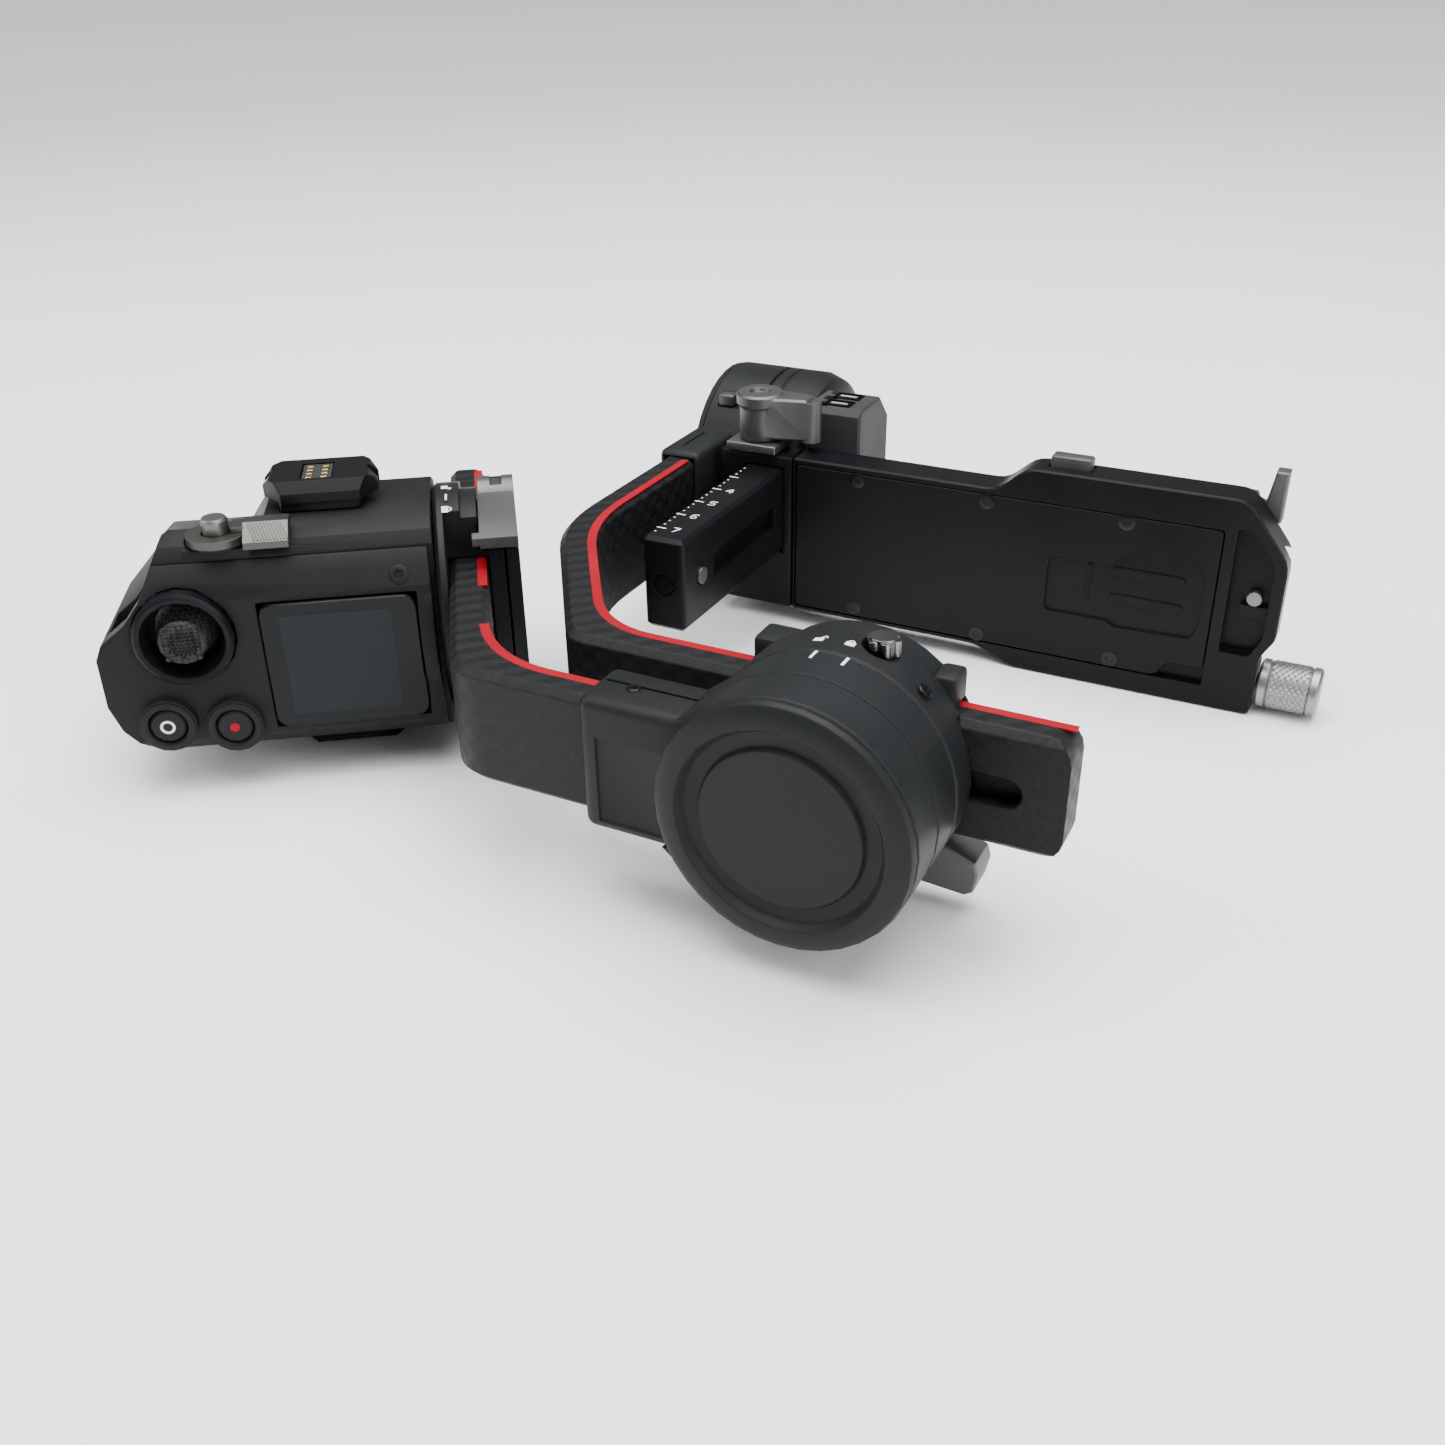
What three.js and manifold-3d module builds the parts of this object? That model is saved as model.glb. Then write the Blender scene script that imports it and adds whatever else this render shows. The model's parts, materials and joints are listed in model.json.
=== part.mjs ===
// Three-axis camera gimbal head, folded flat, without its battery grip.
// Units are millimetres, +Z is up, +X runs along the camera base plate.
import * as THREE from 'three';
import { mergeVertices } from 'three/addons/utils/BufferGeometryUtils.js';
import { RoundedBoxGeometry } from 'three/addons/geometries/RoundedBoxGeometry.js';
import Module from 'manifold-3d';

const wasm = await Module();
wasm.setup();

// ---------- driving dimensions ----------
const GAP = 0.3;                    // clearance between neighbouring pieces
const AXIS_HEIGHT = 34;             // roll axis above the table
const CENTRE_X = -56.55;            // middle of the whole object before centring
const CENTRE_Y = 71.68;

const ARM_WIDTH = 26.4;             // width of every carbon arm (upright here)
const ARM_THICK = 9;                // thickness of the pan and roll arms
const ARM_ROUND = 1.6;              // edge rounding of the arms
const HALF = ARM_WIDTH / 2;

const PAN_TURN = 36.2;              // pan axis direction, degrees from +X
const PAN_ORIGIN = [-119.4, 28.4];  // pan axis where handle and rotor meet
const MOTOR_R = 27.2;               // outer radius of the pan and tilt motors
const ROLL_R = 26.4;                // outer radius of the roll motor

const HANDLE_LEFT = -77;            // far end of the handle along the pan axis
const HANDLE_FRONT = -24.5;         // control face of the handle
const PARTING = -19.5;              // plane between the two handle shells

const PAN_ARM_IN = 3;               // outer face of the pan arm from the rotor gap
const PAN_ARM_REAR = 54;            // free end of the pan arm behind the axis
const PAN_ARM_FRONT = -22.8;        // front face of the pan arm's second leg

const ROLL_ARM_Y = 0.5;             // front face of the roll arm's first leg
const ROLL_ARM_END = 45;            // free end of the roll arm
const THIRD_LEG_X = -100.5;         // outer face of the roll arm's third leg

const TILT_Y = 153;                 // tilt axis position
const TILT_CAP_X = -103;            // outer face of the tilt motor
const VARM_X = [-79, -67.6];        // faces of the vertical arm
const VARM_Z = [-12.8, 11.8];       // edges of the vertical arm
const VARM_END = 57.5;              // free end of the vertical arm

const PLATE_Y = [115.2, 125.4];     // front and camera faces of the base plate
const PLATE_X = [-64.6, 65];        // ends of the base plate

// ---------- materials ----------
const MATERIALS = {
  shell: [0x2b2d2d, 0.62, 0.0],
  carbon: [0x3a3c3e, 0.55, 0.1],
  satin_black: [0x17191b, 0.4, 0.6],
  steel: [0xb9bbbd, 0.3, 1.0],
  grey_metal: [0x8d9092, 0.4, 0.9],
  glass: [0x0b0d10, 0.08, 0.0],
  display: [0x2b3238, 0.3, 0.0],
  gold: [0xc9a45a, 0.3, 1.0],
  board: [0x1f4a34, 0.6, 0.0],
  rubber: [0x202122, 0.85, 0.0],
  copper: [0xa8683a, 0.4, 0.9],
  label: [0x6f7275, 0.6, 0.2],
};

// ---------- solid helpers ----------
function solid(geometry) {
  const bare = geometry.clone();
  bare.deleteAttribute('normal');
  bare.deleteAttribute('uv');
  const merged = mergeVertices(bare, 1e-5);
  return new wasm.Manifold(new wasm.Mesh({
    numProp: 3,
    vertProperties: Float32Array.from(merged.attributes.position.array),
    triVerts: Uint32Array.from(merged.index.array),
  }));
}

function box(x, y, z) {
  const geometry = new THREE.BoxGeometry(x[1] - x[0], y[1] - y[0], z[1] - z[0]);
  geometry.translate((x[0] + x[1]) / 2, (y[0] + y[1]) / 2, (z[0] + z[1]) / 2);
  return solid(geometry);
}

function softBox(x, y, z, radius, steps = 1) {
  const size = [x[1] - x[0], y[1] - y[0], z[1] - z[0]];
  const geometry = new RoundedBoxGeometry(...size, steps, radius);
  geometry.translate((x[0] + x[1]) / 2, (y[0] + y[1]) / 2, (z[0] + z[1]) / 2);
  return solid(geometry);
}

// Turns a shape made about +Y so that it lies along 'x', 'y' or 'z'.
function alongAxis(geometry, axis) {
  if (axis === 'x') {
    geometry.rotateZ(-Math.PI / 2);
  }
  if (axis === 'z') {
    geometry.rotateX(Math.PI / 2);
  }
  return geometry;
}

function cylinder(axis, at, radius, from, to, sides = 20) {
  const geometry = alongAxis(new THREE.CylinderGeometry(radius, radius, to - from, sides), axis);
  const middle = (from + to) / 2;
  const place = { x: [middle, at[0], at[1]], y: [at[0], middle, at[1]], z: [at[0], at[1], middle] };
  geometry.translate(...place[axis]);
  return solid(geometry);
}

// Solid of revolution about an axis; profile is [radius, distance along axis].
function turned(axis, at, profile, sides = 28) {
  const points = profile.map(([r, a]) => new THREE.Vector2(r, a));
  const geometry = new THREE.LatheGeometry(points, sides);
  if (axis === 'x') {
    geometry.rotateZ(-Math.PI / 2);
    geometry.translate(0, at[0], at[1]);
  }
  if (axis === 'y') {
    geometry.translate(at[0], 0, at[1]);
  }
  if (axis === 'z') {
    geometry.rotateX(Math.PI / 2);
    geometry.translate(at[0], at[1], 0);
  }
  return outward(solid(geometry), geometry);
}

function outward(made, geometry) {
  if (made.volume() > 0) {
    return made;
  }
  const index = geometry.index.array;
  for (let i = 0; i < index.length; i += 3) {
    const keep = index[i];
    index[i] = index[i + 1];
    index[i + 1] = keep;
  }
  return solid(geometry);
}

// Flat outline given as [x, y], raised from z0 to z1 with an optional bevel.
function prismZ(outline, z0, z1, bevel = 0) {
  const shape = new THREE.Shape(outline.map(([x, y]) => new THREE.Vector2(x, y)));
  const geometry = new THREE.ExtrudeGeometry(shape, {
    depth: z1 - z0 - 2 * bevel,
    bevelEnabled: bevel > 0,
    bevelSize: bevel,
    bevelOffset: -bevel,
    bevelThickness: bevel,
    bevelSegments: 1,
    steps: 1,
  });
  geometry.translate(0, 0, z0 + bevel);
  return solid(geometry);
}

// Flat outline given as [x, z], raised from y0 to y1.
function prismY(outline, y0, y1, bevel = 0) {
  const flipped = outline.map(([x, z]) => [x, -z]);
  return prismZ(flipped, y0, y1, bevel).rotate([-90, 0, 0]);
}

// Flat outline given as [y, z], raised from x0 to x1.
function prismX(outline, x0, x1, bevel = 0) {
  return prismZ(outline, x0, x1, bevel).rotate([90, 0, 90]);
}

function capsule(cx, cz, halfLength, radius, steps = 8) {
  const points = [];
  for (let i = 0; i <= steps; i += 1) {
    const a = -Math.PI / 2 + Math.PI * i / steps;
    points.push([cx + halfLength + radius * Math.cos(a), cz + radius * Math.sin(a)]);
  }
  for (let i = 0; i <= steps; i += 1) {
    const a = Math.PI / 2 + Math.PI * i / steps;
    points.push([cx - halfLength + radius * Math.cos(a), cz + radius * Math.sin(a)]);
  }
  return points;
}

function rounded(x0, x1, z0, z1, r, steps = 4) {
  const points = [];
  const corners = [[x1 - r, z0 + r, -90], [x1 - r, z1 - r, 0], [x0 + r, z1 - r, 90], [x0 + r, z0 + r, 180]];
  for (const [cx, cz, start] of corners) {
    for (let i = 0; i <= steps; i += 1) {
      const a = (start + 90 * i / steps) * Math.PI / 180;
      points.push([cx + r * Math.cos(a), cz + r * Math.sin(a)]);
    }
  }
  return points;
}

function union(list) {
  return list.reduce((sum, item) => sum.add(item));
}

// Moves a solid from the pan frame (x along the pan axis) to the shared frame.
function fromPan(made) {
  return made.rotate([0, 0, PAN_TURN]).translate([PAN_ORIGIN[0], PAN_ORIGIN[1], 0]);
}

const gimbal = new THREE.Group();
gimbal.name = 'camera_gimbal';

function add(name, made, material) {
  const [color, roughness, metalness] = MATERIALS[material];
  const mesh = made.translate([-CENTRE_X, -CENTRE_Y, AXIS_HEIGHT]).getMesh();
  const geometry = new THREE.BufferGeometry();
  geometry.setAttribute('position', new THREE.BufferAttribute(Float32Array.from(mesh.vertProperties), 3));
  geometry.setIndex(new THREE.BufferAttribute(Uint32Array.from(mesh.triVerts), 1));
  geometry.computeVertexNormals();
  const part = new THREE.Mesh(geometry, new THREE.MeshStandardMaterial({ color, roughness, metalness }));
  part.name = name;
  gimbal.add(part);
}

// ---------- handle (pan frame: x along the pan axis, front is -y) ----------
const STICK = [-57, 5.2];           // joystick centre, along the axis and up
const MODE = [-64.2, -16];          // mode button centre
const RECORD = [-49.4, -17.5];      // record button centre
const PIN = [-47.4, -15.5];           // grip release pin centre, x and y
const SCREEN_X = [-40, -4.8];
const SCREEN_Z = [-19.4, 11.9];

function handleSolid() {
  const front = [
    [0, -27], [0, 27], [-57, 27], [-60, 25.5], [-65.5, 14], [-69.5, 9], [-75.4, 4.5], [-77, 1],
    [-77, -11], [-74.8, -17.5], [-70.5, -22.5], [-65, -25.2], [-40, -25.5], [-30, -27],
  ];
  const section = [
    [-24.5, -21], [-21, -25], [-14, -27], [10, -27], [20, -24], [26, -16], [28, -4], [28, 6],
    [25, 16], [19, 23], [10, 27], [-10, 27], [-17.5, 24.5], [-22, 18], [-24.5, 13.5],
  ];
  const slope = prismX([[-12, 25.1], [32, 12.4], [32, 40], [-12, 40]], -95, -36)
    .intersect(prismY([[-95, 8], [-50, 8], [-37, 28], [-37, 45], [-95, 45]], -30, 45));
  const backCorner = prismZ([[-95, 4], [-82, 4], [-75, 12], [-67, 32], [-95, 32]], -40, 40);
  const body = prismY(front, -30, 30).intersect(prismX(section, -90, 0)).subtract(slope)
    .subtract(backCorner);
  return body.add(cylinder('x', [0, 0], MOTOR_R, -14, 0, 36));
}

function addHandle() {
  const body = handleSolid();
  const bore = cylinder('x', [0, 0], 19.2, -15, 1, 16);
  const pocket = box([-74, -16.5], [PARTING - 5, -9], [-17, 15]);
  const socket = box([-84, -66], [-6, 13], [-12.6, 3]);
  const triggerBay = box([-62, -47.6], [17.4, 34], [-8, 8]);
  const dialBay = box([-36, -22], [18, 34], [-5, 5]);
  const pinBore = cylinder('z', PIN, 3.4, 17, 40, 16);
  const pinSeat = cylinder('z', PIN, 7.2, 22.5, 40, 18);
  let rear = body.subtract(box([-90, 5], [-40, PARTING], [-40, 40]));
  for (const cut of [bore, pocket, socket, triggerBay, dialBay, pinBore]) {
    rear = rear.subtract(cut);
  }
  rear = rear.add(turned('z', PIN, [[3.7, 16], [8.2, 16], [8.2, 23.6], [3.7, 23.6], [3.7, 16]], 16)
    .intersect(box([-60, -38], [PARTING, 10], [0, 40])));
  rear = rear.subtract(pinSeat.intersect(box([-60, -34], [-30, 0], [23.7, 40])));
  add('handle_rear_shell', fromPan(rear), 'shell');

  let front = body.intersect(box([-90, -1.2], [-40, PARTING - GAP], [-40, 40]));
  const collars = [[MODE, 6.6], [RECORD, 6.6]];
  for (const [at, r] of collars) {
    front = front.add(cylinder('y', at, r, -26.6, PARTING - GAP, 18));
  }
  front = front.subtract(box([SCREEN_X[0] - GAP, SCREEN_X[1] + GAP], [-40, 0],
    [SCREEN_Z[0] - GAP, SCREEN_Z[1] + GAP]));
  front = front.subtract(cylinder('y', STICK, 11.5, -40, 0, 18));
  front = front.subtract(cylinder('y', MODE, 4.4, -40, 0, 18));
  front = front.subtract(cylinder('y', RECORD, 4.4, -40, 0, 18));
  add('handle_front_shell', fromPan(front), 'shell');
}

function addControls() {
  const glass = prismY(rounded(SCREEN_X[0], SCREEN_X[1], SCREEN_Z[0], SCREEN_Z[1], 3), -25.6, -24.2, 0.3);
  add('screen_glass', fromPan(glass), 'glass');
  add('display_panel', fromPan(box([-36.5, -8], [-23.9, -21], [-16.5, 9])), 'display');
  add('screen_frame', fromPan(box([-39.6, -5.2], [-20.7, -19.9], [-19, 11.5])), 'satin_black');
  add('main_circuit_board', fromPan(box([-44, -18], [-16, -14.4], [-15, 13])), 'board');

  const ring = turned('y', STICK, [
    [8.4, -20.2], [11.2, -20.2], [11.2, -26.2], [10.4, -26.8], [9.4, -26.6], [8.4, -24.6], [8.4, -20.2],
  ], 20);
  add('joystick_ring', fromPan(ring), 'satin_black');
  const base = turned('y', STICK, [[0, -14.2], [4, -14.2], [4, -16.8], [0, -16.8]], 20);
  add('joystick_base', fromPan(base), 'satin_black');
  const stick = turned('y', STICK, [
    [0, -17.9], [3.2, -17.9], [7.2, -19], [6.2, -21], [3, -23], [3, -25.4], [5, -26], [5.4, -27],
      [4.9, -28],
    [0, -28.4],
  ], 16);
  add('joystick', fromPan(stick), 'rubber');

  const button = (at) => turned('y', at, [[0, -21.2], [4.1, -21.2], [4.1, -26.4], [3.6, -26.9],
    [0, -27]], 16);
  add('mode_button', fromPan(button(MODE)), 'rubber');
  add('record_button', fromPan(button(RECORD)), 'rubber');

  const triggerShape = [[-61, 20.6], [-49, 20.6], [-48.6, 27], [-51, 30.6], [-55, 28.6], [-61, 27.6]];
  add('trigger', fromPan(prismZ(triggerShape, -7.4, 7.4, 0.6)), 'satin_black');
  add('front_dial', fromPan(turned('z', [-29, 24.6], [[0, -4.5], [6, -4.5], [6, 4.5],
    [0, 4.5]], 16)), 'grey_metal');
  add('grip_contact_block', fromPan(box([-70.6, -66.3], [-4, 11], [-10, 0])), 'gold');

  const pin = turned('z', PIN, [[0, 20.5], [3, 20.5], [3, 29.4], [2.6, 30], [0, 30]], 20);
  add('grip_release_pin', fromPan(pin), 'steel');
  const leverRing = turned('z', PIN, [[3.4, 24], [6.4, 24], [6.9, 24.6], [6.9, 26.4], [3.4, 26.4],
    [3.4, 24]], 16);
  const wedge = [[-13.2, 28.7], [-16.8, 28.7], [-21.3, 25.4], [-21.3, 23.8], [-13.2, 26.6]];
  const leverArm = prismX(wedge, -41.2, -31.2);
  const leverNeck = box([-43.8, -40.9], [-18, -12.6], [24.2, 28]);
  add('grip_lock_lever', fromPan(union([leverRing, leverNeck, leverArm])), 'steel');
}

// Accessory port: a neck on the flat side of the handle with a dovetail rail and contacts.
function portSolid() {
  const neck = softBox([-34, -15.4], [-8.6, 9.4], [24, 30.5], 1.5, 1);
  const plan = [
    [-33.2, -9.2], [-15.4, -9.2], [-11.6, -2.4], [-11.6, 3], [-16.5, 10.2], [-32.5, 10.2], [-37.8, 3],
      [-37.8, -2.4],
  ];
  const across = [[-9.2, 29.4], [-9.2, 31.6], [-7, 34], [8, 34], [10.2, 31.6], [10.2, 29.4]];
  const along = [[-37.8, 29.4], [-37.8, 32], [-36, 34], [-13.4, 34], [-11.6, 32], [-11.6, 29.4]];
  const rail = prismZ(plan, 29.4, 34).intersect(prismX(across, -50, 0)).intersect(prismY(along, -20, 20));
  let port = neck.add(rail).subtract(box([-28.9, -21.6], [-5.6, 5], [33, 36]));
  for (const x of [-37.4, -12]) {
    port = port.subtract(cylinder('z', [x, 0.3], 2, 28, 36, 12));
  }
  return port;
}

function addPorts() {
  const below = (made) => made.rotate([180, 0, 0]);
  const contacts = () => box([-28.6, -21.9], [-5.3, 4.7], [33.3, 33.7]);
  const clearOfBody = (made) => made.intersect(box([-90, 10], [-40, 40], [27 + GAP, 60]));
  add('upper_accessory_port', fromPan(clearOfBody(portSolid())), 'satin_black');
  add('upper_port_contacts', fromPan(contacts()), 'gold');
  add('lower_accessory_port', fromPan(below(clearOfBody(portSolid()))), 'satin_black');
  add('lower_port_contacts', fromPan(below(contacts())), 'gold');
}

// ---------- pan motor and pan arm (pan frame) ----------
function addPanMotor() {
  const core = turned('x', [0, 0], [[3.8, -14], [18.6, -14], [18.6, -5], [17.6, -4], [3.8, -4],
    [3.8, -14]], 20);
  add('pan_stator_core', fromPan(core), 'copper');
  add('pan_shaft', fromPan(cylinder('x', [0, 0], 3.4, -13.5, -GAP, 24)), 'steel');

  const ring = turned('x', [0, 0], [[0, GAP], [26.2, GAP], [MOTOR_R, 1.2], [MOTOR_R, 6.6], [0, 6.6]], 36);
  const block = turned('x', [0, 0], [[0, 6], [25.6, 6], [25.6, 12.2], [24.4, 18.6], [23.6, 19.6],
    [0, 19.6]], 36);
  const channel = box([PAN_ARM_IN - GAP, PAN_ARM_IN + ARM_THICK + GAP], [-40, 40],
    [-HALF - GAP, HALF + GAP]);
  const leverBay = box([10.4, 30], [-19, 19], [HALF + 1.6, 40]);
  const innerFace = cylinder('x', [0, 0], 20, 13.5, 16.5).subtract(box([0, 40], [-40, 40], [-40, -30]));
  const armWindow = box([PAN_ARM_IN - GAP, 30], [-40, -10], [-40, 40]);
  let rotor = ring.add(block).subtract(channel).subtract(leverBay).subtract(armWindow);
  rotor = rotor.subtract(innerFace.intersect(box([16, 30], [-30, 30], [-30, 30])));
  add('pan_rotor', fromPan(rotor), 'shell');

  const lever = cylinder('x', [9, 20.6], 5.6, 10.9, 19.6, 18);
  const handle = prismX([[9, 24.4], [9, 16.4], [-13, 16.4], [-17.5, 18.4], [-17.5, 21],
    [-10, 22.6]], 9, 19.6);
  const clear = handle.subtract(box([0, 10.7], [-15.2, 30], [0, 40]));
  const notch = box([14, 16.8], [6, 12], [24.6, 30]);
  const bowed = lever.add(clear).subtract(notch).subtract(cylinder('x', [0, 0], 25.9, 0, 10.7, 36));
  add('pan_clamp_lever', fromPan(bowed), 'grey_metal');
}

// ---------- carbon arms ----------
// Closed outline with rounded corners; each corner is [x, y, radius].
function softOutline(corners, steps = 6) {
  const points = [];
  const count = corners.length;
  for (let i = 0; i < count; i += 1) {
    const [x, y, r] = corners[i];
    const before = corners[(i + count - 1) % count];
    const after = corners[(i + 1) % count];
    const start = cornerPoint(x, y, before, r);
    const end = cornerPoint(x, y, after, r);
    if (r === 0) {
      points.push([x, y]);
      continue;
    }
    for (let k = 0; k <= steps; k += 1) {
      const t = k / steps;
      const w = [(1 - t) * (1 - t), 2 * t * (1 - t), t * t];
      points.push([w[0] * start[0] + w[1] * x + w[2] * end[0], w[0] * start[1] + w[1] * y + w[2] * end[1]]);
    }
  }
  return points;
}

function cornerPoint(x, y, towards, r) {
  const dx = towards[0] - x;
  const dy = towards[1] - y;
  const length = Math.hypot(dx, dy);
  const step = Math.min(r / length, 0.46);
  return [x + dx * step, y + dy * step];
}

function panPoint(along, forward) {
  const a = PAN_TURN * Math.PI / 180;
  const x = PAN_ORIGIN[0] + along * Math.cos(a) + forward * Math.sin(a);
  const y = PAN_ORIGIN[1] + along * Math.sin(a) - forward * Math.cos(a);
  return [x, y];
}

// Where a line at the given distance along the pan axis crosses a given y.
function panCross(along, y) {
  const a = PAN_TURN * Math.PI / 180;
  const forward = (PAN_ORIGIN[1] + along * Math.sin(a) - y) / Math.cos(a);
  return panPoint(along, forward);
}

function addPanArm() {
  const outer = PAN_ARM_IN;
  const inner = PAN_ARM_IN + ARM_THICK;
  const back = PAN_ARM_FRONT + ARM_THICK;
  const outline = softOutline([
    [...panPoint(outer, -PAN_ARM_REAR), 3],
    [...panCross(outer, PAN_ARM_FRONT), 7],
    [-24, PAN_ARM_FRONT, 0],
    [-24, back, 0],
    [...panCross(inner, back), 14],
    [...panPoint(inner, -PAN_ARM_REAR), 3],
  ]);
  const strip = prismZ(outline, -HALF, HALF, ARM_ROUND);
  const groove = fromPan(box([1, PAN_ARM_IN + 2.4], [6, 46], [-3.4, 3.4]));
  add('pan_arm', strip.subtract(groove), 'carbon');
}

function addRollArm() {
  const back = ROLL_ARM_Y + ARM_THICK;
  const outline = softOutline([
    [ROLL_ARM_END, ROLL_ARM_Y, 0],
    [ROLL_ARM_END, back, 0],
    [-61.2, back, 14],
    [THIRD_LEG_X + ARM_THICK, 54.5, 16],
    [THIRD_LEG_X + ARM_THICK, 124, 0],
    [THIRD_LEG_X, 124, 0],
    [THIRD_LEG_X, 53, 14],
    [-64.8, ROLL_ARM_Y, 5],
  ]);
  const strip = prismZ(outline, -HALF, HALF, ARM_ROUND);
  const trim = prismY(rounded(-200, ROLL_ARM_END, -HALF, HALF, 5), -5, 200);
  const slot = prismY(capsule(8.4, -0.4, 24.6, 3.4), ROLL_ARM_Y - 1, ROLL_ARM_Y + 4);
  add('roll_arm', strip.intersect(trim).subtract(slot), 'carbon');
}

// ---------- roll motor (axis along y through the origin) ----------
function addRollMotor() {
  const R = ROLL_R;
  const cap = turned('y', [0, 0], [
    [0, -28.6], [R - 0.2, -28.6], [R, -29.4], [R - 0.4, -30.6], [24.2, -31.6], [21.4, -31.6], [20.2, -29.8],
    [17.2, -29.6], [16.6, -30.6], [0, -30.6],
  ], 36);
  add('roll_motor_cap', cap, 'shell');

  const barrel = turned('y', [0, 0], [
    [0, -28.3], [R - 0.4, -28.3], [R, -27.8], [R, -18.8], [R - 0.5, -18.4], [R - 0.5, -18],
      [R, -17.6], [R, -8.6],
    [R - 0.4, -8.3], [0, -8.3],
  ], 36);
  const sleeve = softBox([-46, -8], [-25.6, -10.6], [-15, 15.2], 2.4, 2);
  const flare = prismY([[-24, -14.6], [-24, 14.8], [-17, 20], [0, 24], [0, -26], [-20, -22],
    [-28, -15]], -25.2, -11);
  const socket = box([-60, -23.7], [PAN_ARM_FRONT - GAP, PAN_ARM_FRONT + ARM_THICK + GAP],
    [-HALF - GAP, HALF + GAP]);
  const bore = cylinder('y', [0, 0], 21, -22, -5, 16);
  const panel = softBox([-42, -27.2], [-30, -25.1], [-12.6, 6.8], 0.2, 1);
  const slit = box([-44, -22], [-17.4, -16.6], [13, 20]);
  const housing = union([barrel, sleeve, flare]).subtract(socket).subtract(bore)
    .subtract(panel).subtract(slit);
  add('roll_motor_housing', housing, 'shell');

  const core = turned('y', [0, 0], [[3.8, -21.6], [20.6, -21.6], [20.6, -12], [19.4, -11], [3.8, -11],
    [3.8, -21.6]], 20);
  add('roll_stator_core', core, 'copper');
  add('roll_shaft', cylinder('y', [0, 0], 3.4, -21, -8.2, 24), 'steel');

  const rotor = turned('y', [0, 0], [
    [0, -7.9], [R - 0.5, -7.9], [R, -7.2], [R, 2], [25.4, 4], [24.6, 10.8], [23.6, 12], [0, 12],
  ], 36);
  const channel = box([-60, 60], [ROLL_ARM_Y - GAP, ROLL_ARM_Y + ARM_THICK + GAP],
    [-HALF - GAP, HALF + GAP]);
  const leverBay = box([-12, 40], [2.6, 20], [-40, -HALF - 1.6]);
  const flat = cylinder('z', [7.3, 0.4], 4.2, 23.8, 40, 20);
  const lug = softBox([16.4, 21.4], [2.4, 9.6], [13.6, 20.4], 1, 1);
  const boss = softBox([-21.6, -13], [3, 11], [13.6, 20.4], 1, 1);
  const body = union([rotor, lug, boss]).subtract(channel).subtract(leverBay).subtract(flat);
  add('roll_rotor', body, 'shell');

  const lobes = [];
  for (let i = 0; i < 6; i += 1) {
    const a = Math.PI * i / 3;
    lobes.push(cylinder('z', [7.3 + 2.4 * Math.cos(a), 0.4 + 2.4 * Math.sin(a)], 1.1, 24.1, 27.4, 12));
  }
  add('roll_lock_knob', union([cylinder('z', [7.3, 0.4], 2.7, 24.1, 27.8, 24), ...lobes]), 'steel');

  const pivot = cylinder('y', [9, -20.4], 5.4, 2.9, 11.8, 18);
  const blade = prismY([
    [9, -25.8], [9, -15.2], [18, -16], [24, -18.6], [27.6, -20], [28.4, -22.6], [27.6, -27],
      [25.8, -28.2], [17, -27.6],
  ], 2.9, 11.8, 0.4);
  add('roll_clamp_lever', pivot.add(blade), 'grey_metal');
}

// ---------- tilt motor (axis along x) ----------
const TILT = [TILT_Y, 0];

function addTiltMotor() {
  const R = MOTOR_R;
  const left = TILT_CAP_X;
  add('tilt_motor_cap', turned('x', TILT, [
    [0, left + 2.6], [R - 0.2, left + 2.6], [R - 0.4, left + 1], [R - 2.4, left], [0, left],
  ], 36), 'shell');

  const barrel = turned('x', TILT, [
    [0, left + 2.9], [R, left + 2.9], [R, -85.6], [R - 0.4, -85.3], [0, -85.3],
  ], 36);
  const sleeve = softBox([-102.4, -89.8], [107.6, 140], [-15, 15], 2.2, 2);
  const socket = box([THIRD_LEG_X - GAP, THIRD_LEG_X + ARM_THICK + GAP], [90, 124.3],
    [-HALF - GAP, HALF + GAP]);
  const bore = cylinder('x', TILT, 21, -97, -80, 16);
  const lockSlot = box([-97.6, -88.6], [134.2, 139.2], [20, 30]);
  const slit = box([-97.6, -97], [113, 126], [14, 20]);
  const capSeat = cylinder('x', TILT, R + GAP, left - 1, left + 2.9, 36);
  let housing = barrel.add(sleeve.subtract(capSeat));
  for (const cut of [socket, bore, lockSlot, slit]) {
    housing = housing.subtract(cut);
  }
  add('tilt_motor_housing', housing, 'shell');
  add('tilt_lock_slider', softBox([-97.2, -92.6], [134.6, 138.8], [20.4, 23.6], 0.5, 1), 'grey_metal');

  const core = turned('x', TILT, [[3.8, -96.6], [20.6, -96.6], [20.6, -89], [19.4, -88], [3.8, -88],
    [3.8, -96.6]], 20);
  add('tilt_stator_core', core, 'copper');
  add('tilt_shaft', cylinder('x', TILT, 3.4, -96, -85.2, 24), 'steel');

  const disc = turned('x', TILT, [
    [0, -84.9], [R - 0.4, -84.9], [R, -84.4], [R, -81.4], [R - 0.5, -81], [R - 0.5, -80.6], [R, -80.2],
    [R, -74], [R - 1.6, -70], [R - 4.6, -68.2], [0, -68.2],
  ], 36);
  const root = box([VARM_X[0] - GAP, -50], [100, TILT_Y + 4], [VARM_Z[0] - GAP, VARM_Z[1] + GAP]);
  add('tilt_rotor', disc.subtract(root), 'shell');

  const portSide = prismX([[127.8, -8], [149, -8], [149, 20], [143, 26.4], [129.6, 26.4],
    [127.8, 24.6]], -66.8, -50.4, 0.6);
  let box3 = portSide;
  for (const y of [131.2, 136.6, 142]) {
    box3 = box3.subtract(softBox([-64.6, -60.8], [y - 1.8, y + 1.8], [23.6, 30], 0.6, 1));
  }
  add('port_box', box3, 'label');
}

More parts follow.
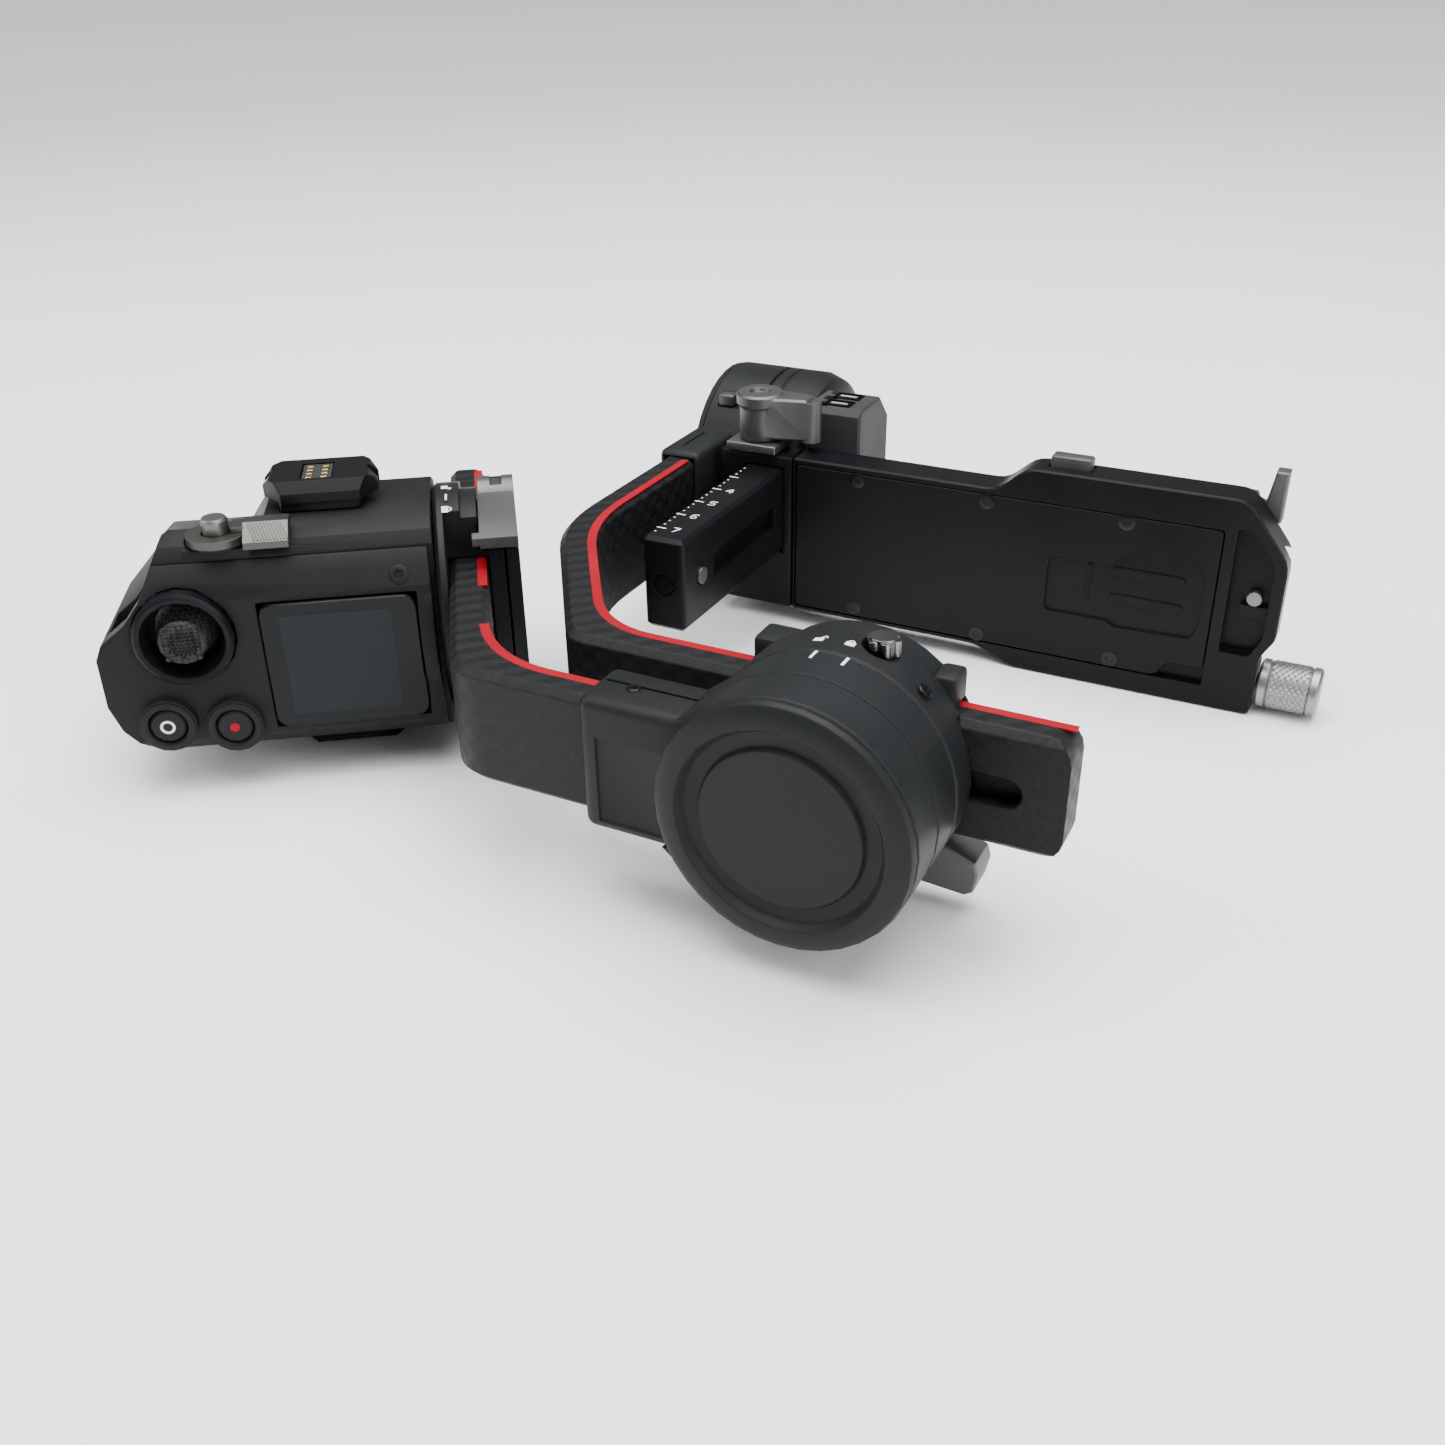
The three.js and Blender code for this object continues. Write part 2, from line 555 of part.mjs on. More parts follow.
function addVerticalArm() {
  const outline = rounded(VARM_X[0], VARM_X[1], VARM_END, TILT_Y + 3, 1.4);
  let arm = prismZ(outline, VARM_Z[0], VARM_Z[1], 1);
  arm = arm.subtract(cylinder('x', [67, -0.5], 2.6, -74, -60, 20));
  arm = arm.subtract(cylinder('y', [-73.3, -0.5], 3, 50, 60, 20));
  const flute = box([-70, -60], [74, 110], [-3.6, 3]);
  add('vertical_arm', arm.subtract(flute), 'satin_black');
  add('arm_stop_pin', cylinder('x', [67, -0.5], 2.2, -71.6, -67, 20), 'steel');
  add('arm_end_screw', turned('y', [-73.3, -0.5], [[0, 57.7], [2.6, 57.7], [2.6, 59.8],
    [0, 59.8]], 20), 'steel');
}

// ---------- carriage that carries the base plate on the vertical arm ----------
const CARRIAGE_X = [-87, -64.9];
const LEVER_AT = [-77, 120.8];

function addCarriage() {
  const y = [115.2, 125.2];
  const block = softBox(CARRIAGE_X, y, [-29.6, 15.2], 1, 1);
  const tunnel = box([VARM_X[0] - GAP, VARM_X[1] + GAP], [100, 140], [VARM_Z[0] - GAP, VARM_Z[1] + GAP]);
  const screwHole = cylinder('z', LEVER_AT, 2.6, 12, 20, 20);
  add('carriage_block', block.subtract(tunnel).subtract(screwHole), 'satin_black');
  const nut = softBox([-84.4, -69.6], [114.2, 126.6], [15.5, 17.9], 0.4, 1);
  add('carriage_nut', nut.subtract(cylinder('z', LEVER_AT, 2.6, 10, 20, 20)), 'steel');

  const hub = turned('z', LEVER_AT, [
    [0, 12.4], [2.3, 12.4], [2.3, 18.2], [5.4, 18.2], [5.8, 19], [5.8, 27], [6.6, 28], [6.6, 30.4], [6, 31],
    [3, 31], [2.6, 30], [0, 30],
  ], 20);
  const arm = prismZ([[-77, 115.4], [-62.4, 119.2], [-62.4, 125], [-77, 126.4]], 19, 30.4, 0.6);
  const tip = cylinder('z', [-62.4, 122.1], 2.9, 18.4, 29.6, 16);
  const scoop = cylinder('y', [-85.2, 23.6], 3.6, 110, 130, 16);
  add('carriage_lever', union([hub, arm, tip]).subtract(scoop), 'grey_metal');
}

// ---------- camera base plate ----------
const KNOB = [121.4, -27];          // fine-tune knob axis, y and z

function plateOutline() {
  return softOutline([
    [-64.6, -29.5, 1], [-10, -29.5, 2], [0.4, -34, 2], [62.9, -34, 1.5], [62.9, -18, 2], [66, -12.6, 1],
    [66, 7.6, 3], [56, 20.4, 1.6], [53, 22.2, 1.6], [0.4, 22.2, 3], [-7, 15.5, 3], [-64.6, 15.5, 1],
  ], 3);
}

function addPlate() {
  const body = prismY(plateOutline(), PLATE_Y[0], PLATE_Y[1], 0.5);
  const coverSeat = prismY(rounded(-64.2 + 0.3, 50.4, -28.4, 14, 1), 100, 117.3);
  const channel = prismX([
    [126, -21.4], [126, 8], [121, 10.4], [120, 10.4], [120, 7.4], [121, 7.4], [121, -20.8], [120, -20.8],
    [120, -23.8], [121, -23.8],
  ], -58, 80);
  const buttonBay = box([4.6, 15.8], [119, 124.4], [12.6, 40]);
  const pocket = prismY(softOutline([[53.2, -18, 1], [53.2, 15, 1], [57, 15, 1], [63, 7, 1],
    [63, -12.6, 1], [60.4, -18, 1]], 2), 100, 118.4);
  const shaftHole = cylinder('x', KNOB, 2.4, 40, 80, 20);
  let plate = body.subtract(coverSeat).subtract(channel).subtract(buttonBay).subtract(pocket)
    .subtract(shaftHole);
  plate = plate.add(prismY([[56.2, -4.9], [56.2, -8], [62.8, -8], [62.8, -4.9]], 116.6, 118.8));
  add('camera_base_plate', plate, 'satin_black');

  let cover = prismY(softOutline([
    [-63.6, -28.1, 1.5], [38.6, -28.1, 2], [41, -23.8, 2], [50.1, -23.8, 1.5], [50.1, 13.7, 1.5],
      [-63.6, 13.7, 1.5],
  ], 3), PLATE_Y[0], 117, 0.3);
  const recess = softOutline([
    [8, -15.4, 1.5], [24.6, -15.4, 1], [26.6, -16.8, 1], [45.6, -16.2, 1], [47.6, -12.4, 2], [47.8, 2.4, 2],
    [44.8, 5, 2], [26, 3.4, 1], [24.6, 0.4, 1], [8, 0.4, 1.5],
  ], 3);
  cover = cover.subtract(prismY(recess, 100, 116));
  for (const z of [-1.6, -9]) {
    cover = cover.add(prismY(capsule(33.6, z, 8, 1.2, 5), 115.5, 116.4));
  }
  add('plate_cover', cover, 'satin_black');

  add('plate_slide_pin', cylinder('y', [59.4, -2.8], 1.8, 116, 118.1, 20), 'steel');
  add('safety_button', softBox([5, 15.4], [119.4, 124], [14.6, 25], 0.7, 1), 'satin_black');

  const grip = turned('x', KNOB, knurlProfile(), 16);
  let knob = grip.add(cylinder('x', KNOB, 2, 44, 66, 20));
  for (let i = 0; i < 12; i += 1) {
    const a = Math.PI * i / 6;
    const at = [KNOB[0] + 6.4 * Math.cos(a), KNOB[1] + 6.4 * Math.sin(a)];
    knob = knob.subtract(cylinder('x', at, 0.5, 66.8, 74.8, 4));
  }
  add('fine_tune_knob', knob, 'steel');

  const pad = softBox([44, 55], [125.7, 131], [8, 20], 1, 1);
  const bar = prismY([[50, 10], [55, 9], [61.4, 14], [61.4, 26.6], [58.4, 26.6], [57, 18],
    [50, 20]], 125.7, 130, 0.4);
  add('plate_clamp_lever', pad.add(bar), 'grey_metal');
}

function knurlProfile() {
  return [
    [0, 63.4], [5.6, 63.4], [6.2, 64], [6.2, 65.6], [5.7, 66], [6.3, 66.6], [6.3, 75], [5.7, 75.6],
      [6.2, 76],
    [6.2, 77.6], [5.6, 78.2], [0, 78.2],
  ];
}

addHandle();
addControls();
addPorts();
addPanMotor();
addPanArm();
addRollMotor();
addRollArm();
addTiltMotor();
addVerticalArm();
addCarriage();
addPlate();

export default gimbal;
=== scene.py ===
"""Looks for the camera gimbal: materials, small pieces, floor, light and camera around the CAD frame."""

import json
import math

import bmesh
import bpy
from mathutils import Matrix, Vector


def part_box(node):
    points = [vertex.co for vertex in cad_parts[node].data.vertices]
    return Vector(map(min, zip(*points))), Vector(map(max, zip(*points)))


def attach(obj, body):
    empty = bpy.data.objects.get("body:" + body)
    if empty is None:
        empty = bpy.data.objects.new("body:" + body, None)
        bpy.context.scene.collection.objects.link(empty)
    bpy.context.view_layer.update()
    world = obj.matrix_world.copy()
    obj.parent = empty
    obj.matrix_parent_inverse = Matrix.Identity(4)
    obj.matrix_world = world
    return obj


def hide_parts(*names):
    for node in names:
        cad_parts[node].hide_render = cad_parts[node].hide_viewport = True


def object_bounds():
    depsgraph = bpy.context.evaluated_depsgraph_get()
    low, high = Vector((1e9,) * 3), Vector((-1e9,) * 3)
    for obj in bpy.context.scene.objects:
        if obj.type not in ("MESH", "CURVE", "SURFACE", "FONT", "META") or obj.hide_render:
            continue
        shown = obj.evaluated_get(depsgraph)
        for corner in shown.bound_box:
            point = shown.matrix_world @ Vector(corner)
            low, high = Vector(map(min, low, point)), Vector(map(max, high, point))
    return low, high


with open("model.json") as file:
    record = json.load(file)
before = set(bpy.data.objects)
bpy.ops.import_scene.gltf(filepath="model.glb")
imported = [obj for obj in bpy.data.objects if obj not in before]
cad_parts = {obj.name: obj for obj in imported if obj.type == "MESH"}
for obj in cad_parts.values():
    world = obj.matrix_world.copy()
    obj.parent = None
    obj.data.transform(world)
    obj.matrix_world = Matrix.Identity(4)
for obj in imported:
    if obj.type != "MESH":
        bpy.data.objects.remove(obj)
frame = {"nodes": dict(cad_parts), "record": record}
START_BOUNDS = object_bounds()
NODES = frame["nodes"]
JOINTS = {j["name"]: j for j in frame["record"]["behaviour"]["joints"]}
MM = 0.001


# ---------- frames of reference, taken from the joints ----------
def axis_frame(origin, x_axis, z_axis):
    """Matrix whose columns are the given axes, with y completing a right-handed set."""
    x = Vector(x_axis).normalized()
    z = Vector(z_axis).normalized()
    y = z.cross(x)
    m = Matrix.Identity(4)
    for i in range(3):
        m[i][0], m[i][1], m[i][2], m[i][3] = x[i], y[i], z[i], origin[i]
    return m


PAN = axis_frame(JOINTS["pan"]["pos_m"], JOINTS["pan"]["axis"], (0, 0, 1))
ROLL = axis_frame(JOINTS["roll"]["pos_m"], (1, 0, 0), (0, 0, 1))


# ---------- materials ----------
def noise(tree, scale, detail=4.0, coords=None):
    node = tree.nodes.new("ShaderNodeTexNoise")
    node.inputs["Scale"].default_value = scale
    node.inputs["Detail"].default_value = detail
    if coords is not None:
        tree.links.new(coords, node.inputs["Vector"])
    return node.outputs["Fac"]


def ramp(tree, value, low, high, start=0.35, end=0.65):
    node = tree.nodes.new("ShaderNodeValToRGB")
    node.color_ramp.elements[0].position = start
    node.color_ramp.elements[1].position = end
    node.color_ramp.elements[0].color = low
    node.color_ramp.elements[1].color = high
    tree.links.new(value, node.inputs["Fac"])
    return node.outputs["Color"]


def grey(v):
    return (v, v, v, 1.0)


def shade(colour, factor):
    return (colour[0] * factor, colour[1] * factor, colour[2] * factor, 1.0)


def base_material(name, metallic, edge=0.35):
    mat = bpy.data.materials.new(name)
    mat.use_nodes = True
    tree = mat.node_tree
    shader = tree.nodes["Principled BSDF"]
    shader.inputs["Metallic"].default_value = metallic
    bevel = tree.nodes.new("ShaderNodeBevel")
    bevel.samples = 4
    bevel.inputs["Radius"].default_value = edge * MM
    bump = tree.nodes.new("ShaderNodeBump")
    tree.links.new(bevel.outputs["Normal"], bump.inputs["Normal"])
    tree.links.new(bump.outputs["Normal"], shader.inputs["Normal"])
    coords = tree.nodes.new("ShaderNodeTexCoord").outputs["Object"]
    return mat, tree, shader, bump, coords


def surface(name, colour, rough, metallic=0.0, grain=2600.0, depth=0.03, spread=0.1, coat=0.0, edge=0.35):
    """A finish with mottled colour, uneven roughness and a fine grain."""
    mat, tree, shader, bump, coords = base_material(name, metallic, edge)
    broad = noise(tree, 45.0, 5.0, coords)
    fine = noise(tree, grain, 2.0, coords)
    tint = ramp(tree, broad, shade(colour, 1 - spread), shade(colour, 1 + spread))
    tree.links.new(tint, shader.inputs["Base Color"])
    rough_map = ramp(tree, broad, grey(rough * 0.9), grey(min(1.0, rough * 1.12)))
    tree.links.new(rough_map, shader.inputs["Roughness"])
    shader.inputs["Coat Weight"].default_value = coat
    shader.inputs["Specular IOR Level"].default_value = 0.5 if metallic > 0.5 else 0.14
    bump.inputs["Strength"].default_value = depth * 5
    bump.inputs["Distance"].default_value = 0.05 * MM
    tree.links.new(fine, bump.inputs["Height"])
    return mat


def brushed(name, colour, rough, stretch=(40.0, 40.0, 2600.0)):
    """Turned or brushed metal with fine lines."""
    mat, tree, shader, bump, coords = base_material(name, 1.0, 0.25)
    mapping = tree.nodes.new("ShaderNodeMapping")
    mapping.inputs["Scale"].default_value = stretch
    tree.links.new(coords, mapping.inputs["Vector"])
    lines = noise(tree, 1.0, 3.0, mapping.outputs["Vector"])
    tree.links.new(ramp(tree, lines, shade(colour, 0.86), shade(colour, 1.05)), shader.inputs["Base Color"])
    tree.links.new(ramp(tree, lines, grey(rough * 0.8), grey(rough * 1.25)), shader.inputs["Roughness"])
    bump.inputs["Strength"].default_value = 0.12
    bump.inputs["Distance"].default_value = 0.03 * MM
    tree.links.new(lines, bump.inputs["Height"])
    return mat


def math_node(tree, operation, a, b=None):
    node = tree.nodes.new("ShaderNodeMath")
    node.operation = operation
    for socket, value in zip(node.inputs, (a, b)):
        if value is None:
            continue
        if isinstance(value, (int, float)):
            socket.default_value = value
        else:
            tree.links.new(value, socket)
    return node.outputs[0]


def carbon(name, turn):
    """Matte woven carbon: two directions of tow that pass over and under each other."""
    mat, tree, shader, bump, coords = base_material(name, 0.0, 0.8)
    mapping = tree.nodes.new("ShaderNodeMapping")
    mapping.inputs["Rotation"].default_value = (0.0, 0.0, turn)
    mapping.inputs["Scale"].default_value = (300.0, 300.0, 360.0)
    tree.links.new(coords, mapping.inputs["Vector"])
    split = tree.nodes.new("ShaderNodeSeparateXYZ")
    tree.links.new(mapping.outputs["Vector"], split.inputs[0])
    across = math_node(tree, "SUBTRACT", split.outputs["Y"], split.outputs["X"])
    up = split.outputs["Z"]
    cell_a = math_node(tree, "FLOOR", across)
    cell_b = math_node(tree, "FLOOR", up)
    over = math_node(tree, "MODULO", math_node(tree, "ABSOLUTE", math_node(tree, "ADD", cell_a, cell_b)), 2.0)
    round_a = math_node(tree, "SINE", math_node(tree, "MULTIPLY", math_node(tree, "FRACT", across), math.pi))
    round_b = math_node(tree, "SINE", math_node(tree, "MULTIPLY", math_node(tree, "FRACT", up), math.pi))
    under = math_node(tree, "SUBTRACT", 1.0, over)
    on_top = math_node(tree, "MULTIPLY", over, round_a)
    below = math_node(tree, "MULTIPLY", under, round_b)
    tow = math_node(tree, "ADD", on_top, below)
    speck = noise(tree, 900.0, 4.0, coords)
    weave_part = math_node(tree, "MULTIPLY", over, 0.2)
    speck_part = math_node(tree, "MULTIPLY", speck, 0.8)
    blend = math_node(tree, "ADD", weave_part, speck_part)
    tint = ramp(tree, blend, (0.004, 0.0041, 0.0045, 1), (0.012, 0.0123, 0.0132, 1), 0.2, 0.8)
    tree.links.new(tint, shader.inputs["Base Color"])
    tree.links.new(ramp(tree, over, grey(0.46), grey(0.56)), shader.inputs["Roughness"])
    shader.inputs["Specular IOR Level"].default_value = 0.16
    bump.inputs["Strength"].default_value = 0.22
    bump.inputs["Distance"].default_value = 0.06 * MM
    tree.links.new(tow, bump.inputs["Height"])
    return mat


def knurled_rubber(name):
    mat, tree, shader, bump, coords = base_material(name, 0.0, 0.2)
    checker = tree.nodes.new("ShaderNodeTexVoronoi")
    checker.inputs["Scale"].default_value = 1100.0
    checker.inputs["Randomness"].default_value = 0.1
    tree.links.new(coords, checker.inputs["Vector"])
    # The colour follows the same cell distance as the bump, so it is darker in the low dimples: painted shade
    # in the recesses of the knurl.
    tint = ramp(tree, checker.outputs["Distance"], grey(0.008), grey(0.03))
    tree.links.new(tint, shader.inputs["Base Color"])
    shader.inputs["Roughness"].default_value = 0.62
    shader.inputs["Specular IOR Level"].default_value = 0.2
    bump.inputs["Strength"].default_value = 0.7
    bump.inputs["Distance"].default_value = 0.25 * MM
    tree.links.new(checker.outputs["Distance"], bump.inputs["Height"])
    return mat


M = {
    "shell": surface("shell_black", (0.0085, 0.0092, 0.0098), 0.5, depth=0.05, spread=0.08),
    "motor_shell": surface("motor_black", (0.0095, 0.0105, 0.0115), 0.46, 0.0,
                           depth=0.05, spread=0.08, edge=0.5),
    "carbon": carbon("carbon_weave", 0.0),
    "black_metal": surface("satin_black", (0.006, 0.006, 0.0075), 0.36, 0.3, depth=0.03, spread=0.12),
    "steel": surface("satin_steel", (0.17, 0.166, 0.16), 0.36, 0.9, depth=0.02, spread=0.03),
    "grey_metal": surface("grey_satin", (0.1, 0.099, 0.099), 0.44, 0.8, depth=0.02, spread=0.03),
    "glass": surface("panel_glass", (0.003, 0.0035, 0.004), 0.12, 0.0,
                     depth=0.0, spread=0.2, coat=0.05, edge=0.15),
    "display": surface("display_off", (0.006, 0.009, 0.0115), 0.2, 0.0,
                       depth=0.0, spread=0.1, coat=0.05, edge=0.1),
    "contacts": surface("contact_base", (0.03, 0.03, 0.03), 0.5, 0.0),
    "board": surface("circuit_board", (0.02, 0.10, 0.05), 0.5),
    "rubber": knurled_rubber("knurled_rubber"),
    "windings": brushed("copper", (0.55, 0.26, 0.12), 0.4),
    "label": surface("grey_moulding", (0.035, 0.036, 0.038), 0.55, spread=0.1),
    "gold": brushed("gold_plate", (0.85, 0.62, 0.28), 0.28),
    "red": surface("red_inlay", (0.26, 0.002, 0.01), 0.5, spread=0.08, edge=0.1),
    "white": surface("white_print", (0.72, 0.73, 0.73), 0.6, spread=0.05, edge=0.05),
    "pale": surface("grey_print", (0.30, 0.31, 0.31), 0.6, spread=0.06, edge=0.05),
    "dark": surface("deep_black", (0.006, 0.006, 0.007), 0.6, spread=0.2, edge=0.1),
    "chrome": brushed("dark_chrome", (0.22, 0.22, 0.225), 0.2),
    "knurl": surface("knurled_metal", (0.27, 0.265, 0.26), 0.36, 0.9, depth=0.02, spread=0.04, edge=0.03),
    "lever": surface("lever_grey", (0.082, 0.078, 0.073), 0.4, 0.9, depth=0.02, spread=0.03),
    "ridge": surface("ridge_grey", (0.06, 0.058, 0.056), 0.45, 0.85, spread=0.04, edge=0.05),
    "black_screw": surface("black_screw", (0.02, 0.02, 0.022), 0.3, 0.9, spread=0.2, edge=0.15),
    "button": surface("button_black", (0.010, 0.010, 0.011), 0.45, spread=0.1, edge=0.3),
}
SLOT_OF = {s["node"]: s["material_slot"] for s in frame["record"]["subparts"]}
SPECIAL = {
    "mode_button": "button", "record_button": "button", "screen_frame": "dark",
    "roll_lock_knob": "chrome", "arm_end_screw": "black_screw", "grip_lock_lever": "lever",
    "safety_button": "grey_metal",
}


# ---------- smooth shading of the CAD pieces ----------
def smooth_group(limit_degrees=32.0):
    group = bpy.data.node_groups.new("smooth_by_angle", "GeometryNodeTree")
    group.interface.new_socket("Geometry", in_out="INPUT", socket_type="NodeSocketGeometry")
    group.interface.new_socket("Geometry", in_out="OUTPUT", socket_type="NodeSocketGeometry")
    nodes, links = group.nodes, group.links
    start = nodes.new("NodeGroupInput")
    end = nodes.new("NodeGroupOutput")
    drop = nodes.new("GeometryNodeRemoveAttribute")
    drop.inputs["Name"].default_value = "custom_normal"
    weld = nodes.new("GeometryNodeMergeByDistance")
    weld.inputs["Distance"].default_value = 0.000002
    faces = nodes.new("GeometryNodeSetShadeSmooth")
    edges = nodes.new("GeometryNodeSetShadeSmooth")
    edges.domain = "EDGE"
    angle = nodes.new("GeometryNodeInputMeshEdgeAngle")
    less = nodes.new("FunctionNodeCompare")
    less.data_type = "FLOAT"
    less.operation = "LESS_THAN"
    less.inputs[1].default_value = math.radians(limit_degrees)
    links.new(start.outputs[0], drop.inputs["Geometry"])
    links.new(drop.outputs["Geometry"], weld.inputs["Geometry"])
    links.new(weld.outputs["Geometry"], faces.inputs["Geometry"])
    links.new(faces.outputs["Geometry"], edges.inputs["Geometry"])
    links.new(angle.outputs["Unsigned Angle"], less.inputs[0])
    links.new(less.outputs["Result"], edges.inputs["Shade Smooth"])
    links.new(edges.outputs["Geometry"], end.inputs[0])
    return group


SMOOTH = smooth_group()


def smooth(obj):
    mod = obj.modifiers.new("smooth", "NODES")
    mod.node_group = SMOOTH


for node_name, obj in NODES.items():
    obj.data.materials.clear()
    obj.data.materials.append(M[SPECIAL.get(node_name, SLOT_OF[node_name])])
    smooth(obj)


# ---------- small builders, all in millimetres of a given frame ----------
def finish_piece(name, bm, where, material, body):
    bmesh.ops.recalc_face_normals(bm, faces=bm.faces)
    mesh = bpy.data.meshes.new(name)
    bm.to_mesh(mesh)
    bm.free()
    mesh.transform(where @ Matrix.Scale(MM, 4))
    obj = bpy.data.objects.new(name, mesh)
    bpy.context.collection.objects.link(obj)
    mesh.materials.append(M[material])
    smooth(obj)
    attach(obj, body)
    return obj


def block(bm, x, y, z, bevel=0.0):
    made = bmesh.ops.create_cube(bm, size=1.0)["verts"]
    for v in made:
        v.co.x = x[0] + (v.co.x + 0.5) * (x[1] - x[0])
        v.co.y = y[0] + (v.co.y + 0.5) * (y[1] - y[0])
        v.co.z = z[0] + (v.co.z + 0.5) * (z[1] - z[0])
    if bevel > 0:
        edges = list({e for v in made for e in v.link_edges})
        bmesh.ops.bevel(bm, geom=edges, offset=bevel, segments=2, affect="EDGES")


def lathe(bm, profile, turn, sides=32):
    """Closed ring profile of [radius, height] turned about the z axis of the matrix turn."""
    rings = []
    for k in range(sides):
        a = 2 * math.pi * k / sides
        ring = [bm.verts.new(turn @ Vector((r * math.cos(a), r * math.sin(a), h))) for r, h in profile]
        rings.append(ring)
    count = len(profile)
    for k in range(sides):
        here, following = rings[k], rings[(k + 1) % sides]
        for i in range(count - 1):
            bm.faces.new((here[i], following[i], following[i + 1], here[i + 1]))
    bmesh.ops.remove_doubles(bm, verts=bm.verts, dist=0.0005)


def facing(direction, at):
    """Matrix that takes +z to the given direction at a point."""
    return Matrix.Translation(at) @ Vector(direction).to_track_quat("Z", "Y").to_matrix().to_4x4()


def prism(bm, outline, turn, low, high):
    lower = [bm.verts.new(turn @ Vector((x, y, low))) for x, y in outline]
    upper = [bm.verts.new(turn @ Vector((x, y, high))) for x, y in outline]
    count = len(outline)
    bm.faces.new(lower)
    bm.faces.new(upper)
    for i in range(count):
        k = (i + 1) % count
        bm.faces.new((lower[i], lower[k], upper[k], upper[i]))


def screw(name, where, at, direction, radius, body, proud):
    """Round head with a real socket in it."""
    bm = bmesh.new()
    turn = facing(direction, at)
    outer = 24
    sides = 6
    depth = 0.5 * radius
    rim = [(math.cos(2 * math.pi * i / outer), math.sin(2 * math.pi * i / outer)) for i in range(outer)]
    hole = [socket_point(i, outer, sides) for i in range(outer)]
    levels = [
        [(x * radius, y * radius, -0.02) for x, y in rim],
        [(x * radius, y * radius, proud * 0.6) for x, y in rim],
        [(x * radius * 0.86, y * radius * 0.86, proud) for x, y in rim],
        [(x * radius * 0.5, y * radius * 0.5, proud) for x, y in hole],
        [(x * radius * 0.46, y * radius * 0.46, proud - min(depth, proud * 0.95)) for x, y in hole],
    ]
    rings = [[bm.verts.new(turn @ Vector(p)) for p in level] for level in levels]
    for a, b in zip(rings, rings[1:]):
        for i in range(outer):
            k = (i + 1) % outer
            bm.faces.new((a[i], a[k], b[k], b[i]))
    bm.faces.new(rings[0])
    bm.faces.new(rings[-1])
    return finish_piece(name, bm, where, "black_screw", body)


def socket_point(i, outer, sides):
    a = 2 * math.pi * i / outer
    sector = 2 * math.pi / sides
    off = (a % sector) - sector / 2
    r = math.cos(sector / 2) / math.cos(off)
    return (r * math.cos(a), r * math.sin(a))


def ribbon(bm, points, width, low, high):
    """Flat strip of constant width along the points, to their left side, between two heights."""
    left, right = [], []
    for i, p in enumerate(points):
        here = Vector(p)
        before = Vector(points[max(i - 1, 0)])
        after = Vector(points[min(i + 1, len(points) - 1)])
        d = (after - before).normalized()
        n = Vector((-d.y, d.x))
        left.append(here + n * width / 2)
        right.append(here - n * width / 2)
    count = len(left)
    top_l = [bm.verts.new((p.x, p.y, high)) for p in left]
    top_r = [bm.verts.new((p.x, p.y, high)) for p in right]
    low_l = [bm.verts.new((p.x, p.y, low)) for p in left]
    low_r = [bm.verts.new((p.x, p.y, low)) for p in right]
    for i in range(count - 1):
        k = i + 1
        bm.faces.new((top_l[i], top_l[k], top_r[k], top_r[i]))
        bm.faces.new((low_l[i], low_r[i], low_r[k], low_l[k]))
        bm.faces.new((top_l[i], low_l[i], low_l[k], top_l[k]))
        bm.faces.new((top_r[i], top_r[k], low_r[k], low_r[i]))
    bm.faces.new((top_l[0], top_r[0], low_r[0], low_l[0]))
    bm.faces.new((top_l[-1], low_l[-1], low_r[-1], top_r[-1]))


def curve_points(a, corner, b, steps=8):
    out = []
    for i in range(steps + 1):
        t = i / steps
        w = ((1 - t) ** 2, 2 * t * (1 - t), t * t)
        out.append(tuple(w[0] * a[k] + w[1] * corner[k] + w[2] * b[k] for k in range(2)))
    return out


# ---------- rounded edges on the moulded handle ----------
def soften(node, width, angle):
    """Rounds the sharp outer edges of a CAD shell for the eye."""
    obj = NODES[node]
    weld = obj.modifiers.new("weld", "WELD")
    weld.merge_threshold = 0.000005
    bevel = obj.modifiers.new("round", "BEVEL")
    bevel.limit_method = "ANGLE"
    bevel.angle_limit = math.radians(angle)
    bevel.width = width * MM
    bevel.segments = 3
    bevel.use_clamp_overlap = True
    for mod in (bevel, weld):
        while obj.modifiers.find(mod.name) > 0:
            obj.modifiers.move(obj.modifiers.find(mod.name), obj.modifiers.find(mod.name) - 1)


soften("handle_rear_shell", 1.3, 24)
soften("handle_front_shell", 0.9, 24)


# ---------- red inlay along the arms ----------
ARM_TOP = 13.2
ARM_THICK = 9.0
INLAY_WIDTH = 2.2
INLAY_DEPTH = 0.3
INLAY_PROUD = 0.04


def inlay(name, points, where, body):
    """Red strip let into the upper edge of an arm."""
    bm = bmesh.new()
    ribbon(bm, points, INLAY_WIDTH, ARM_TOP - INLAY_DEPTH, ARM_TOP + INLAY_PROUD)
    finish_piece(name, bm, where, "red", body)


INSET = ARM_THICK + 0.5 - 2.5
inlay("roll_arm_inlay", [(44.0, INSET), (-45.0, INSET)]
      + curve_points((-48.0, INSET), (-60.2, INSET), (-68.4, 19.5))
      + [(-76.0, 30.6)]
      + curve_points((-84.0, 42.5), (-93.4, 56.0), (-93.4, 72.0))
      + [(-93.4, 107.0)], ROLL, "roll_arm_body")
inlay("pan_arm_inlay_rear", [(10.6, -10.4), (10.6, -26.6)], PAN, "pan_arm_body")
inlay("pan_arm_inlay_tip", [(10.6, 51.0), (10.6, 27.0)], PAN, "pan_arm_body")
to_roll = ROLL.inverted() @ PAN


def pan_to_roll(x, y):
    p = to_roll @ Vector((x * MM, y * MM, 0))
    return (p.x / MM, p.y / MM)


